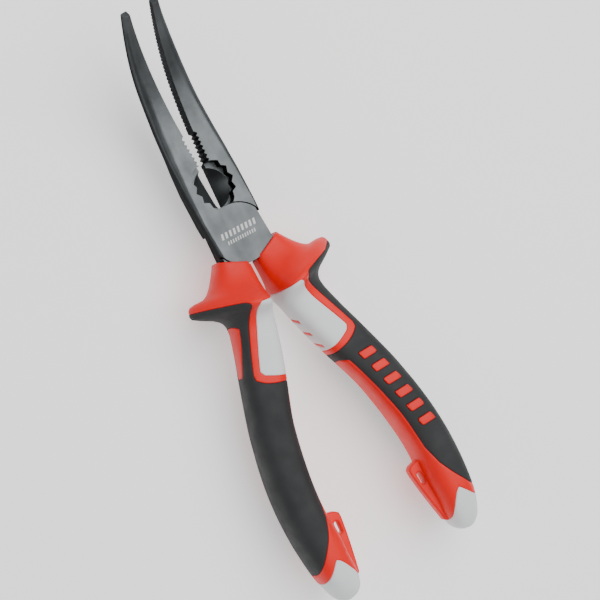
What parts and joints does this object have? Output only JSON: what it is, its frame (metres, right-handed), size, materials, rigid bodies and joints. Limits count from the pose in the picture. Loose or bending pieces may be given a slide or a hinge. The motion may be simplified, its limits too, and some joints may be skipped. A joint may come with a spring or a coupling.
{
  "type": "needle nose pliers",
  "caption": "Bent long nose pliers with side cutter, toothed pipe grip and two-colour moulded grips with thumb guards.",
  "frame": {"origin": "on the pivot axis, on the joint's flat back face", "axes": "+Z along the pivot axis, towards the side the nose bends to; +Y from the handles to the tips; +X to the right, across the two halves"},
  "size_m": [0.065, 0.2033, 0.0402],
  "materials": {
    "forged_steel": "dark phosphated forged steel, ground flat on the joint, satin",
    "rivet_steel": "ground flush",
    "red_plastic": "moulded hard plastic, satin",
    "dark_soft_plastic": "soft moulded elastomer, matte, fine grain",
    "grey_soft_plastic": "soft moulded elastomer, matte"
  },
  "bodies": {
    "front_lever": {"front_half": "forged_steel", "pivot_rivet": "rivet_steel", "right_grip_core": "red_plastic", "right_soft_grip": "dark_soft_plastic", "right_thumb_pad": "grey_soft_plastic", "right_end_cap": "grey_soft_plastic", "right_grip_bars": "red_plastic"},
    "rear_lever": {"rear_half": "forged_steel", "left_grip_core": "red_plastic", "left_soft_grip": "dark_soft_plastic", "left_thumb_pad": "grey_soft_plastic", "left_end_cap": "grey_soft_plastic", "left_grip_bars": "red_plastic"}
  },
  "joints": [
    {"name": "pivot", "type": "hinge", "parent": "front_lever", "child": "rear_lever", "pos_m": [0, 0, 0.005], "axis": [0, 0, -1], "range_deg": [-6, 24]}
  ]
}
